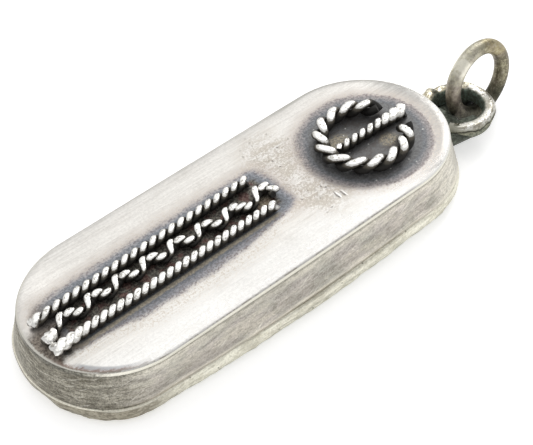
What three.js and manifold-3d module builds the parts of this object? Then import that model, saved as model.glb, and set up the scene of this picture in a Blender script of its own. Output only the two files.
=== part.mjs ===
// Silver box pendant, millimetres, +Z up.
// The pendant lies on its back plate. The long axis runs along X, the hanging end is at +X,
// and the origin is the middle of the flat back.
import * as THREE from 'three';
import { mergeVertices } from 'three/addons/utils/BufferGeometryUtils.js';
import Module from 'manifold-3d';

// Box: outline and height
const bodyHeight = 4.0;
const topHalfStraight = 10.17;
const topEndRadius = 6.0;
const baseHalfWidth = 6.53;
const baseSideBow = 0.47;
const baseLeftCentre = -11.86;
const baseLeftReach = 5.07;
const baseRightCentre = 10.51;
const baseRightReach = 6.37;
const baseTurn = -0.013;
const widestHeight = 0.43;
const leftEndBulge = 0.22;

// Box: sheet and seams
const seamGap = 0.01;
const frontPlateThickness = 0.43;
const frontEdgeProud = 0.06;
const wallThickness = 0.55;
const wallFootInset = 0.12;
const backRimHeight = 1.15;
const backFloorThickness = 0.5;
const backEdgeRadius = 0.3;

// Outline steps
const endSteps = 22;
const sideSteps = 8;

// Twisted wires
// The bar and the open ring are placed from the middle of the plate's hanging end.
const ringCentreInset = 0.22;
const barStartInset = 2.27;
const barEndReach = 3.58;
const wireSeatGap = 0.01;
const strandClearance = 0.016;
const strandSides = 3;
const stepsPerTurn = 8;
const upperRail = {
  start: [-15.4, 1.14],
  end: [1.7, 1.64],
  strandRadius: 0.2,
  turnLength: 1.5,
  startTwist: 0,
};
const lowerRail = {
  start: [-15.5, -1.5],
  end: [1.72, -1.36],
  strandRadius: 0.19,
  turnLength: 1.26,
  startTwist: 49,
};
const bar = {
  start: [topHalfStraight - barStartInset, -0.4],
  end: [topHalfStraight + barEndReach, -0.46],
  strandRadius: 0.207,
  turnLength: 1.38,
  startTwist: -57,
};
const openRing = {
  centre: [topHalfStraight - ringCentreInset, -0.64],
  radius: 2.87,
  gapFrom: -24,
  gapTo: 26,
  strandRadius: 0.285,
  turnLength: 2.5,
  startTwist: 50,
};

// Waved wire between the rails
// A flank is one slope of a wave. The wires make one half turn on a rise and two on a fall.
const wave = {
  start: [-15.45, -0.6],
  firstTrough: -14.62,
  period: 2.13,
  periods: 6,
  rise: 1.06,
  middle: -0.01,
  arch: 0.22,
  swing: 0.33,
  riseHalfTurns: 1,
  fallHalfTurns: 2,
  tail: [[-0.78, 0.3], [0.6, -0.4], [1.82, 0.48], [2.3, 0.16], [2.4, -0.5]],
  tailHalfTurns: [1, 3, 1, 1, 1],
  strandRadius: 0.182,
  startTwist: 0,
};

// Hanging loop: an upright strip bent round and soldered to the +X end
// Its far side, beyond the jump ring, is deeper and reaches lower.
const loopCentreReach = 2.164;
const loopCentreAside = -0.72;
const loopMiddleRadius = 2.165;
const loopStripWidth = 0.97;
const loopStripHeight = 1.15;
const loopStripRound = 0.38;
const loopBottom = 0.78;
const loopFarDrop = 0.78;
const loopFarSide = 0.05;
const loopSteps = 36;
const solderGap = 0.02;

// Solder between loop and end wall: a bead on each face of the strip's near end, and a pool
// Their places are measured from the middle of the loop, at the height of the flat back.
const solderBeads = [
  { start: [-2.66, -1.48, 1.03], end: [-1.01, -1.85, 1.13] },
  { start: [-1.36, -0.98, 1.12], end: [0.04, -1.38, 1.12] },
];
const beadRadius = 0.5;
const poolCentre = [-1.61, 0.02, 0.98];
const poolReach = [1.17, 1.5, 0.68];

// Jump ring that hangs in the loop, with its place measured in the same way
const ringWireRadius = 0.54;
const ringRadius = 2.54;
const ringCentre = [2.21, 0.29, 2.7];
const ringYaw = 2.3;
const ringLean = 5;
const ringSteps = 40;
const ringSides = 10;

const degree = Math.PI / 180;
const quarterTurn = Math.PI / 2;
const fullTurn = 2 * Math.PI;
const group = new THREE.Group();
group.name = 'pendant';

const finishes = {
  plate_silver: { color: 0xd9d7d2, roughness: 0.34, metalness: 0.95 },
  back_silver: { color: 0xcfcabc, roughness: 0.42, metalness: 0.95 },
  wire_silver: { color: 0xdedcd6, roughness: 0.26, metalness: 0.95 },
  loop_silver: { color: 0xc4c3b4, roughness: 0.36, metalness: 0.9 },
  ring_silver: { color: 0xa69e86, roughness: 0.4, metalness: 0.9 },
  solder_grey: { color: 0x6f7666, roughness: 0.6, metalness: 0.7 },
};

function addPiece(name, geometry, finish) {
  const material = new THREE.MeshStandardMaterial(finishes[finish]);
  material.name = finish;
  const mesh = new THREE.Mesh(geometry, material);
  mesh.name = name;
  group.add(mesh);
}

// Outline of the box
// A rounded end, a long side, the other rounded end and the other long side, anticlockwise.
function outlinePlan(rightCentre, rightReach, leftCentre, leftReach, halfWidth, bow) {
  const points = [];
  const addEnd = (centre, reach, from) => {
    for (let step = 0; step < endSteps; step += 1) {
      const angle = from + (Math.PI * step) / endSteps;
      const x = centre + reach * Math.cos(angle);
      const y = halfWidth * Math.sin(angle);
      points.push(new THREE.Vector2(x, y));
    }
  };
  const addSide = (fromX, toX, side) => {
    for (let step = 0; step < sideSteps; step += 1) {
      const along = step / sideSteps;
      const x = fromX + (toX - fromX) * along;
      const y = side * (halfWidth + bow * Math.sin(Math.PI * along));
      points.push(new THREE.Vector2(x, y));
    }
  };
  addEnd(rightCentre, rightReach, -quarterTurn);
  addSide(rightCentre, leftCentre, 1);
  addEnd(leftCentre, leftReach, quarterTurn);
  addSide(leftCentre, rightCentre, -1);
  return points;
}

const topPlan = outlinePlan(
  topHalfStraight, topEndRadius, -topHalfStraight, topEndRadius, topEndRadius, 0);
const origin = new THREE.Vector2(0, 0);
const basePlan = outlinePlan(
  baseRightCentre, baseRightReach, baseLeftCentre, baseLeftReach, baseHalfWidth, baseSideBow,
).map((point) => point.rotateAround(origin, baseTurn));

// Outline of the box at one height, moved inward by an inset
function outlineAt(height, inset) {
  const share = Math.min(1, (bodyHeight - height) / (bodyHeight - widestHeight));
  const plan = topPlan.map((point, index) => {
    const mixed = point.clone().lerp(basePlan[index], share);
    const leftward = Math.max(0, -(mixed.x - baseLeftCentre) / baseLeftReach);
    mixed.x -= leftEndBulge * leftward * Math.sin(Math.PI * share);
    return mixed;
  });
  return plan.map((point, index) => {
    const before = plan[(index + plan.length - 1) % plan.length];
    const after = plan[(index + 1) % plan.length];
    const along = after.clone().sub(before).normalize();
    return new THREE.Vector3(point.x - along.y * inset, point.y + along.x * inset, height);
  });
}

// Loft through rows of matching points
// Rows run from the underside up the outside. A hollow piece closes back on its first row.
function loft(rows, hollow) {
  const count = rows[0].length;
  const positions = rows.flat().flatMap((point) => [point.x, point.y, point.z]);
  const index = [];
  const last = hollow ? rows.length : rows.length - 1;
  for (let row = 0; row < last; row += 1) {
    const low = row * count;
    const high = ((row + 1) % rows.length) * count;
    for (let step = 0; step < count; step += 1) {
      const next = (step + 1) % count;
      index.push(low + step, low + next, high + next);
      index.push(low + step, high + next, high + step);
    }
  }
  if (!hollow) {
    const top = (rows.length - 1) * count;
    const plan = (row) => row.map((point) => new THREE.Vector2(point.x, point.y));
    for (const [a, b, c] of THREE.ShapeUtils.triangulateShape(plan(rows[0]), [])) {
      index.push(a, c, b);
    }
    for (const [a, b, c] of THREE.ShapeUtils.triangulateShape(plan(rows[rows.length - 1]), [])) {
      index.push(top + a, top + b, top + c);
    }
  }
  const geometry = new THREE.BufferGeometry();
  geometry.setAttribute('position', new THREE.Float32BufferAttribute(positions, 3));
  geometry.setIndex(index);
  geometry.computeVertexNormals();
  return geometry;
}

// Back plate
// A shallow tray: its rim stands slightly proud of the wall and is rounded over at the back.
const backEdgeRows = [90, 60, 30, 0].map((angle) => {
  const inset = backEdgeRadius * (1 - Math.cos(angle * degree));
  const height = backEdgeRadius * (1 - Math.sin(angle * degree));
  return outlineAt(height, inset);
});
const backRows = [
  ...backEdgeRows,
  outlineAt(widestHeight, 0),
  outlineAt(backRimHeight - wallFootInset, 0),
  outlineAt(backRimHeight, wallFootInset / 2),
  outlineAt(backRimHeight, wallFootInset + wallThickness),
  outlineAt(backFloorThickness, wallFootInset + wallThickness + backFloorThickness),
];
addPiece('back_plate', loft(backRows, false), 'back_silver');

// Side wall
// One strip bent round the outline and soldered between the two plates.
const wallTop = bodyHeight - frontPlateThickness - seamGap;
const wallBottom = backRimHeight + seamGap;
const wallMiddle = (wallTop + wallBottom) / 2;
const wallRows = [
  outlineAt(wallBottom, wallFootInset),
  outlineAt(wallMiddle, wallFootInset / 2),
  outlineAt(wallTop, 0),
  outlineAt(wallTop, wallThickness),
  outlineAt(wallBottom, wallFootInset + wallThickness),
];
addPiece('side_wall', loft(wallRows, true), 'plate_silver');

// Front plate
// A thick sheet with a softened edge; the wires are soldered on it.
const frontBottom = bodyHeight - frontPlateThickness;
const frontRows = [
  outlineAt(frontBottom, 0),
  outlineAt(frontBottom + frontEdgeProud, -frontEdgeProud),
  outlineAt(bodyHeight - 2 * frontEdgeProud, -frontEdgeProud / 2),
  outlineAt(bodyHeight, frontEdgeProud),
];
addPiece('front_plate', loft(frontRows, false), 'plate_silver');

// Twisted pair: two strands wound round one another along a path
// This is the feature that takes most skill; every wire ornament is made with it.
class TwistedStrand extends THREE.Curve {
  constructor(path, offset, angleAt, phase) {
    super();
    this.path = path;
    this.offset = offset;
    this.angleAt = angleAt;
    this.phase = phase;
  }

  getPoint(share) {
    const middle = this.path.getPoint(share);
    const along = this.path.getTangent(share);
    const side = new THREE.Vector3(-along.y, along.x, 0).normalize();
    const angle = this.phase - this.angleAt(share);
    middle.addScaledVector(side, this.offset * Math.cos(angle));
    middle.z += this.offset * Math.sin(angle);
    return middle;
  }
}

function twistedPair(name, path, wire, turns, angleAt) {
  const offset = wire.strandRadius + strandClearance;
  const section = new THREE.Shape();
  section.absarc(0, 0, wire.strandRadius, 0, fullTurn, false);
  const steps = Math.round(turns * stepsPerTurn);
  ['a', 'b'].forEach((letter, index) => {
    const phase = wire.startTwist * degree + index * Math.PI;
    const strand = new TwistedStrand(path, offset, angleAt, phase);
    strand.arcLengthDivisions = steps * 4;
    const geometry = new THREE.ExtrudeGeometry(section, {
      steps,
      curveSegments: strandSides,
      bevelEnabled: false,
      extrudePath: strand,
    });
    addPiece(`${name}_strand_${letter}`, geometry, 'wire_silver');
  });
}

function evenlyTwistedPair(name, path, wire) {
  const turns = path.getLength() / wire.turnLength;
  twistedPair(name, path, wire, turns, (share) => fullTurn * turns * share);
}

// Height of a pair's axis when it rests on the front plate
function axisHeight(wire) {
  return bodyHeight + wireSeatGap + 2 * wire.strandRadius + strandClearance;
}

function onPlate(point, wire) {
  return new THREE.Vector3(point[0], point[1], axisHeight(wire));
}

// Straight wires: two rails and the bar through the open ring
for (const [name, wire] of [['upper_rail', upperRail], ['lower_rail', lowerRail], ['bar', bar]]) {
  const path = new THREE.LineCurve3(onPlate(wire.start, wire), onPlate(wire.end, wire));
  evenlyTwistedPair(name, path, wire);
}

// Waved wire
// Troughs and crests alternate; after the last regular wave the pair curls over.
const waveKnots = [{ point: wave.start, halfTurns: 0 }];
const addKnot = (point, halfTurns) => {
  const before = waveKnots[waveKnots.length - 1].halfTurns;
  waveKnots.push({ point, halfTurns: before + halfTurns });
};
for (let count = 0; count <= wave.periods; count += 1) {
  const trough = wave.firstTrough + count * wave.period;
  const middle = wave.middle + wave.arch * Math.sin((Math.PI * count) / wave.periods);
  addKnot([trough, middle - wave.swing], wave.fallHalfTurns);
  if (count < wave.periods) {
    addKnot([trough + wave.rise, middle + wave.swing], wave.riseHalfTurns);
  }
}
wave.tail.forEach((point, index) => {
  addKnot(point, wave.tailHalfTurns[index]);
});
const wavePoints = waveKnots.map((knot) => onPlate(knot.point, wave));
const wavePath = new THREE.CatmullRomCurve3(wavePoints, false, 'centripetal');
const waveTurns = waveKnots[waveKnots.length - 1].halfTurns / 2;
twistedPair('wave', wavePath, wave, waveTurns, (share) => {
  const place = share * (waveKnots.length - 1);
  const index = Math.min(Math.floor(place), waveKnots.length - 2);
  const from = waveKnots[index].halfTurns;
  const to = waveKnots[index + 1].halfTurns;
  return Math.PI * (from + (to - from) * (place - index));
});

// Open ring
// A thicker pair bent into a circle with a gap where the bar runs out.
class OpenRingPath extends THREE.Curve {
  getPoint(share) {
    const sweep = fullTurn + (openRing.gapFrom - openRing.gapTo) * degree;
    const angle = openRing.gapTo * degree + sweep * share;
    const x = openRing.centre[0] + openRing.radius * Math.cos(angle);
    const y = openRing.centre[1] + openRing.radius * Math.sin(angle);
    return onPlate([x, y], openRing);
  }
}
evenlyTwistedPair('ring', new OpenRingPath(), openRing);

// Solid shapes for cutting
const wasm = await Module();
wasm.setup();

function toSolid(geometry) {
  const bare = new THREE.BufferGeometry();
  bare.setAttribute('position', geometry.getAttribute('position'));
  bare.setIndex(geometry.getIndex());
  const merged = mergeVertices(bare);
  const mesh = new wasm.Mesh({
    numProp: 3,
    vertProperties: new Float32Array(merged.getAttribute('position').array),
    triVerts: new Uint32Array(merged.getIndex().array),
  });
  return new wasm.Manifold(mesh);
}

function toGeometry(solid) {
  const mesh = solid.getMesh();
  const geometry = new THREE.BufferGeometry();
  geometry.setAttribute('position', new THREE.BufferAttribute(mesh.vertProperties, 3));
  geometry.setIndex(new THREE.BufferAttribute(mesh.triVerts, 1));
  geometry.computeVertexNormals();
  return geometry;
}

// The box with a little room round it, which the loop and its solder are fitted against
const fittedHeights = [0, widestHeight, backRimHeight - wallFootInset, backRimHeight, bodyHeight];
const fittedBody = toSolid(loft(fittedHeights.map((height) => outlineAt(height, -solderGap)), false));

// The loop stands off the end wall, which slopes, by a reach at the strip's middle height
const stripMiddle = loopBottom + loopStripHeight / 2;
const slopeShare = (bodyHeight - stripMiddle) / (bodyHeight - widestHeight);
const endWall = THREE.MathUtils.lerp(
  topHalfStraight + topEndRadius, baseRightCentre + baseRightReach, slopeShare);
const loopPlace = new THREE.Vector3(endWall + loopCentreReach, loopCentreAside, 0);

function fromLoop(point) {
  return new THREE.Vector3(...point).add(loopPlace);
}

// Strip bent round to a ring, from one height to another and thickened by a margin
function stripRing(bottom, top, margin) {
  const section = new THREE.Shape();
  const halfWidth = loopStripWidth / 2 + margin;
  const halfHeight = (top - bottom) / 2 + margin;
  const round = loopStripRound;
  const corners = [[1, -1], [1, 1], [-1, 1], [-1, -1]];
  corners.forEach(([right, up], index) => {
    const x = right * (halfWidth - round);
    const y = up * (halfHeight - round);
    section.absarc(x, y, round, (index - 1) * quarterTurn, index * quarterTurn, false);
  });
  const profile = section.getPoints(2).map((point) => {
    return new THREE.Vector2(point.x + loopMiddleRadius, point.y);
  });
  profile.push(profile[0].clone());
  const geometry = new THREE.LatheGeometry(profile, loopSteps);
  geometry.rotateX(quarterTurn);
  geometry.translate(loopPlace.x, loopPlace.y, (bottom + top) / 2);
  return toSolid(geometry);
}

// The whole loop: the strip, and its far side carried lower
function loopWithMargin(margin) {
  const loopTop = loopBottom + loopStripHeight;
  const farSide = stripRing(loopBottom - loopFarDrop, loopTop, margin)
    .trimByPlane([0, 1, 0], loopFarSide - margin);
  return stripRing(loopBottom, loopTop, margin).add(farSide);
}

// Hanging loop
const loopSolid = loopWithMargin(0).subtract(fittedBody);
addPiece('hanging_loop', toGeometry(loopSolid), 'loop_silver');

// Loop solder
// The beads and the pool run together beneath the strip's near end.
function solderBead(bead) {
  const from = fromLoop(bead.start);
  const to = fromLoop(bead.end);
  const line = to.clone().sub(from);
  const geometry = new THREE.CapsuleGeometry(beadRadius, line.length(), 4, 12);
  const upright = new THREE.Vector3(0, 1, 0);
  const turn = new THREE.Quaternion().setFromUnitVectors(upright, line.normalize());
  geometry.applyQuaternion(turn);
  const middle = from.lerp(to, 0.5);
  geometry.translate(middle.x, middle.y, middle.z);
  return toSolid(geometry);
}

const pool = new THREE.SphereGeometry(1, 16, 10);
pool.scale(...poolReach);
pool.translate(...fromLoop(poolCentre));
const solderSolid = solderBeads
  .reduce((solid, bead) => solid.add(solderBead(bead)), toSolid(pool))
  .subtract(fittedBody)
  .subtract(loopWithMargin(solderGap));
addPiece('loop_solder', toGeometry(solderSolid), 'solder_grey');

// Jump ring
const jumpRing = new THREE.TorusGeometry(ringRadius, ringWireRadius, ringSides, ringSteps);
jumpRing.rotateX(quarterTurn - ringLean * degree);
jumpRing.rotateZ(ringYaw * degree);
jumpRing.translate(...fromLoop(ringCentre));
addPiece('jump_ring', jumpRing, 'ring_silver');

export default group;
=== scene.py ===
import math

import bpy
import numpy as np
from mathutils import Matrix, Vector, noise


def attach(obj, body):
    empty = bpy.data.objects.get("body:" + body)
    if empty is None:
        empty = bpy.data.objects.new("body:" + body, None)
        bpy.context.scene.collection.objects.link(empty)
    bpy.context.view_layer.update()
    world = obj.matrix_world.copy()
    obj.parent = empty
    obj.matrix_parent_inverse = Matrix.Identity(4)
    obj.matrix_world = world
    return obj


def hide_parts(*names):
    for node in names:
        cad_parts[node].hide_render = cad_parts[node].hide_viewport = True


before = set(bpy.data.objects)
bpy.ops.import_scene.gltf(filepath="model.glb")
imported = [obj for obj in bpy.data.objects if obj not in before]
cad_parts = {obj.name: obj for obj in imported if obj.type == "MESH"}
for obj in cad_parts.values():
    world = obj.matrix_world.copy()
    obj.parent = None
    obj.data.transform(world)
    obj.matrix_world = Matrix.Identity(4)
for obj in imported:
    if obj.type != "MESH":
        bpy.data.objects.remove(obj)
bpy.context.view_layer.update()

# Back plate
# A thick sheet of silver with a raised rim, rounded over at the back. The wall is soldered inside
# the rim. It lies against the clothes, so its lip is worn, and its lowest part is painted a darker
# olive as shade.
mm = 0.001
body_height = 4.0
top_half_straight = 10.17
top_end_radius = 6.0
base_half_width = 6.53
base_side_bow = 0.47
base_left_centre = -11.86
base_left_reach = 5.07
base_right_centre = 10.51
base_right_reach = 6.37
base_turn = -0.013
widest_height = 0.43
left_end_bulge = 0.22
middle_line_ends = (-11, 10)
wall_thickness = 0.55
wall_foot_inset = 0.12
back_rim_height = 1.15
back_floor_thickness = 0.5
worn_edge_depth = 0.6
worn_edge_height = 0.7


def outline_plan(right_centre, right_reach, left_centre, left_reach, half_width, bow):
    """The outline seen from the front: rounded end, long side, rounded end, long side."""
    end_steps, side_steps = 66, 60
    parts = []
    for centre, reach, other, side in (
        (right_centre, right_reach, left_centre, 1), (left_centre, left_reach, right_centre, -1),
    ):
        angle = math.pi * (np.arange(end_steps) / end_steps - side / 2)
        parts.append(np.stack([centre + reach * np.cos(angle), half_width * np.sin(angle)], 1))
        along = np.arange(side_steps) / side_steps
        y = side * (half_width + bow * np.sin(math.pi * along))
        parts.append(np.stack([centre + (other - centre) * along, y], 1))
    return np.concatenate(parts)


top_plan = outline_plan(
    top_half_straight, top_end_radius, -top_half_straight, top_end_radius, top_end_radius, 0)
turn = np.array([[math.cos(base_turn), math.sin(base_turn)],
                 [-math.sin(base_turn), math.cos(base_turn)]])
base_plan = outline_plan(
    base_right_centre, base_right_reach, base_left_centre, base_left_reach,
    base_half_width, base_side_bow) @ turn


def unit(vectors):
    """Each row of vectors, made one long."""
    return vectors / np.linalg.norm(vectors, axis=1)[:, None]


def outline_at(height, inset):
    """The outline at one height in millimetres, moved inward by the inset."""
    share = min(1.0, (body_height - height) / (body_height - widest_height))
    plan = top_plan + (base_plan - top_plan) * share
    leftward = np.maximum(0, (base_left_centre - plan[:, 0]) / base_left_reach)
    plan[:, 0] -= left_end_bulge * leftward * math.sin(math.pi * share)
    along = unit(np.roll(plan, -1, 0) - np.roll(plan, 1, 0))
    plan = plan + np.stack([-along[:, 1], along[:, 0]], 1) * inset
    return np.column_stack([plan, np.full(len(plan), height)])


def uneven(points, size, spread):
    """How far a hand-worked surface strays at each point: up to about the size, in dents about
    the spread apart, both in millimetres."""
    return np.array([size * noise.noise(Vector(point) / spread) for point in points])


def press_in(row, depths):
    """Moves each point of an outline toward the box's long middle line by its depth."""
    middle = np.column_stack([np.clip(row[:, 0], *middle_line_ends), np.zeros(len(row))])
    row[:, :2] += unit(middle - row[:, :2]) * depths[:, None]


def placed(name, data):
    """A new object in the scene."""
    made = bpy.data.objects.new(name, data)
    bpy.context.scene.collection.objects.link(made)
    return made


def make_piece(name, rows, closed, material, body, nodes):
    """A smooth mesh over rows of matching points in millimetres, riding on a body."""
    mesh = bpy.data.meshes.new(name)
    mesh.from_pydata([tuple(point) for point in np.concatenate(rows) * mm], [],
                     loft_faces(len(rows), len(rows[0]), closed))
    mesh.polygons.foreach_set("use_smooth", [True] * len(mesh.polygons))
    mesh.update()
    mesh.materials.append(material)
    finish_piece(placed(name, mesh), body, nodes)


def finish_piece(piece, body, nodes):
    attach(piece, body)
    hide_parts(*nodes)


def loft_faces(row_count, count, closed):
    """Quads between rows of matching points; an open loft gets a face on each end."""
    faces = []
    for row in range(row_count if closed else row_count - 1):
        low = row * count
        high = (row + 1) % row_count * count
        for step in range(count):
            after = (step + 1) % count
            faces.append((low + step, low + after, high + after, high + step))
    if not closed:
        faces.append(tuple(reversed(range(count))))
        faces.append(tuple(range((row_count - 1) * count, row_count * count)))
    return faces


class Reading:
    """A number or colour at each place of a piece; arithmetic on it adds the Math nodes."""

    def __init__(self, recipe, socket):
        self.recipe = recipe
        self.socket = socket

    def __add__(self, other):
        return self.recipe.reckon("ADD", self, other)

    def __radd__(self, other):
        return self.recipe.reckon("ADD", other, self)

    def __sub__(self, other):
        return self.recipe.reckon("SUBTRACT", self, other)

    def __rsub__(self, other):
        return self.recipe.reckon("SUBTRACT", other, self)

    def __mul__(self, other):
        return self.recipe.reckon("MULTIPLY", self, other)

    def __truediv__(self, other):
        return self.recipe.reckon("DIVIDE", self, other)


class Recipe:
    """A tree of nodes, for a finish or for wound wire."""

    def __init__(self, tree):
        self.tree = tree

    def node(self, kind, settings=None, inputs=None, output=0):
        """Adds a node of any kind: its settings first, then the values or links of its inputs."""
        made = self.tree.nodes.new(kind)
        for name, value in (settings or {}).items():
            if name == "stops":
                for index, (place, colour) in enumerate(value):
                    stop = made.color_ramp.elements[index] if index < 2 else (
                        made.color_ramp.elements.new(place))
                    stop.position = place
                    stop.color = (*colour, 1)
            else:
                setattr(made, name, value)
        for key, value in (inputs or {}).items():
            if isinstance(value, Reading):
                self.tree.links.new(value.socket, made.inputs[key])
            else:
                made.inputs[key].default_value = value
        return Reading(self, made.outputs[output]) if made.outputs else None

    def reckon(self, operation, first, second=0.0):
        return self.node("ShaderNodeMath", {"operation": operation}, {0: first, 1: second})

    def vector(self, operation, *vectors, output=0):
        return self.node("ShaderNodeVectorMath", {"operation": operation},
                         dict(enumerate(vectors)), output)

    def scaled(self, vector, amount):
        return self.node("ShaderNodeVectorMath", {"operation": "SCALE"},
                         {0: vector, "Scale": amount})

    def step(self, value, low, high):
        """0 where the value is under low, 1 over high, and smooth between."""
        return self.node("ShaderNodeMapRange", {"interpolation_type": "SMOOTHSTEP"},
                         {"Value": value, "From Min": low, "From Max": high})

    def under(self, value, low, high):
        """1 where the value is under low, 0 over high, and smooth between."""
        return 1 - self.step(value, low, high)

    def band(self, value, low, full_from, full_to, high):
        """1 between the two middle limits, fading to 0 at the outer ones."""
        return self.step(value, low, full_from) * self.under(value, full_to, high)


class Finish(Recipe):
    """A metal finish. Places are in millimetres from the pendant's origin."""

    def __init__(self, name):
        self.material = bpy.data.materials.new(name)
        self.material.use_nodes = True
        super().__init__(self.material.node_tree)
        self.tree.nodes.clear()
        self.place = self.scaled(self.node("ShaderNodeTexCoord", output="Object"), 1 / mm)
        self.x, self.y, self.z = (
            self.node("ShaderNodeSeparateXYZ", inputs={0: self.place}, output=axis)
            for axis in "XYZ")

    def mapped(self, scale, centre=(0, 0, 0), turned=0.0, axis="Z_AXIS"):
        """Places moved to a centre, turned about an axis and stretched."""
        spun = self.node("ShaderNodeVectorRotate", {"rotation_type": axis},
                         {"Vector": self.vector("SUBTRACT", self.place, centre), "Angle": turned})
        return self.vector("MULTIPLY", spun, scale)

    def distance(self, scale, centre):
        """Distance from a centre; a scale of 0 leaves that direction out."""
        return self.vector("LENGTH", self.mapped(scale, centre), output="Value")

    def near(self, centre, reach):
        """1 about a place seen from the front, fading to 0 a little past the reach."""
        return self.under(
            self.distance((1 / reach[0], 1 / reach[1], 0), (*centre, 0)), 0.5, 1.1)

    def cloud(self, scale, detail, rough=0.5, where=None):
        """Soft noise from 0 to 1."""
        return self.node("ShaderNodeTexNoise", inputs={
            "Vector": where or self.place, "Scale": scale, "Detail": detail, "Roughness": rough})

    def specks(self, scale):
        """Distance to the nearest of many scattered points."""
        return self.node("ShaderNodeTexVoronoi", inputs={
            "Vector": self.place, "Scale": scale}, output="Distance")

    def blend(self, share, first, second):
        """Goes from the first colour to the second as the share goes from 0 to 1."""
        first, second = ((*c, 1) if isinstance(c, tuple) else c for c in (first, second))
        return self.node("ShaderNodeMix", {"data_type": "RGBA"},
                         {0: share, 6: first, 7: second}, output=2)

    def two_tone(self, value, low, high, first, second):
        """The first colour where the value is under low, and the second where it is over high."""
        return self.blend(self.step(value, low, high), first, second)

    def layered(self, colour, *layers):
        """Lays more colours over the first, each as (share, colour)."""
        for share, over in layers:
            colour = self.blend(share, colour, over)
        return colour

    def ramp(self, value, stops):
        return self.node("ShaderNodeValToRGB", {"stops": stops}, {0: value}, output="Color")

    def finish(self, colour, roughness, height, metallic=1.0):
        """Ends the tree: height is the relief in millimetres."""
        normal = self.node("ShaderNodeBump", inputs={
            "Height": height, "Distance": mm, "Strength": 1.0}, output="Normal")
        shader = self.node("ShaderNodeBsdfPrincipled", inputs={
            "Base Color": colour, "Roughness": roughness, "Metallic": metallic, "Normal": normal})
        self.node("ShaderNodeOutputMaterial", inputs={"Surface": shader})
        return self.material


def back_finish():
    f = Finish("back_silver")
    x, z = f.x, f.z
    streaks = f.cloud(1.0, 4, 0.6, f.mapped((0.5, 0.5, 7)))
    patches = f.cloud(0.45, 4, 0.6)
    grain = f.cloud(1.0, 4, 0.7, f.mapped((2.2, 2.2, 6)))
    dust = f.cloud(9.0, 3, 0.75)
    # The left end is tarnished darker, and painted darker still as shade
    left_end = f.under(x + patches * 4, -11.6, -7.6)
    stain = f.step(patches + streaks * 0.4, 0.62, 0.95)
    # Painted shade: a darker olive towards the bottom of the rounded edge
    shaded_underside = f.under(z + grain * 0.2, 0.15, 0.7)
    # The lip's edge is worn pale at the left end, and the seam above it is dark in places
    pale_edge_line = f.step(z + (grain - 0.5) * 0.16, 1.03, 1.08)
    broken = f.step(streaks + (patches - 0.5), 0.38, 0.55) * 0.55 + 0.2
    seam = f.step(z + (patches - 0.5) * 0.12, 1.1, 1.15)
    seam = seam * f.step(streaks, 0.45, 0.6) * 0.2 * (1 - left_end * 0.7)
    colour = f.layered(
        f.two_tone(streaks, 0.3, 0.7, (0.86, 0.84, 0.72), (0.72, 0.70, 0.60)),
        (stain * 0.4, (0.40, 0.37, 0.29)),
        (f.step(grain, 0.48, 0.62) * 0.5, (0.47, 0.44, 0.34)),
        (left_end * 0.9 * (1 - pale_edge_line),
         f.two_tone(grain, 0.42, 0.6, (0.35, 0.32, 0.25), (0.16, 0.14, 0.105))),
        (pale_edge_line * left_end * broken, (0.84, 0.80, 0.69)),
        (shaded_underside * 0.6, f.blend(left_end, (0.27, 0.28, 0.215), (0.40, 0.365, 0.235))),
        (seam, (0.24, 0.21, 0.16)))
    pits = f.step(0.1 - f.specks(1.6) + patches * 0.06, 0.0, 0.04)
    colour = f.blend(pits * 0.7, f.scaled(colour, 1 + (dust - 0.5) * 0.9), (0.16, 0.15, 0.11))
    height = streaks * 0.004 - pits * 0.012 + patches * 0.02 + grain * 0.008
    return f.finish(colour, 0.34 + stain * 0.12 + streaks * 0.08 + shaded_underside * 0.08, height)


wall_inner_inset = wall_foot_inset + wall_thickness
back_edge_steps = 8
back_dents = (0.11, 2.2)
back_edge_wear = (0.16, 0.9)
back_outside = [
    (worn_edge_height * (1 - math.sin(angle)), worn_edge_depth * (1 - math.cos(angle)))
    for angle in np.radians(np.linspace(90, 6, back_edge_steps))
]
back_outside += [
    (worn_edge_height, 0), (0.8, 0), (0.95, 0), (back_rim_height - 0.12, 0.01),
    (back_rim_height - 0.06, 0.03), (back_rim_height - 0.02, 0.06), (back_rim_height, 0.11),
]
back_inside = [
    (back_rim_height, 0.3), (back_rim_height, wall_inner_inset),
    (back_floor_thickness, wall_inner_inset + back_floor_thickness),
]
back_rows = [outline_at(height, inset) for height, inset in back_outside + back_inside]
# The rounded edge has wear of its own besides the dents, and both are weaker where the flat begins
for index, row in enumerate(back_rows[:len(back_outside)]):
    spots = np.column_stack([row[:, :2], np.full(len(row), 0.3 * index)])
    depths = np.maximum(0, 0.03 - uneven(spots, *back_dents))
    if index < back_edge_steps:
        depths += np.abs(uneven(spots, *back_edge_wear))
    press_in(row, depths * (1 if index > 1 else 0.4))
make_piece("back_plate_worn", back_rows, False,
           back_finish(), "pendant", ["back_plate"])

# Side wall
# One strip of sheet bent round the outline and soldered between the two plates. It leans in a
# little towards the front, and is scratched along its length and dull, most at the left end, which
# is also painted darker as shade.
seam_gap = 0.01
front_plate_thickness = 0.43
wall_top = body_height - front_plate_thickness - seam_gap
wall_bottom = back_rim_height + seam_gap
wall_row_count = 13
wall_bow = 0.02
wall_dents = (0.06, 3.1)
wall_spread_from = 9.0
wall_spread_over = 3.5


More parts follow.
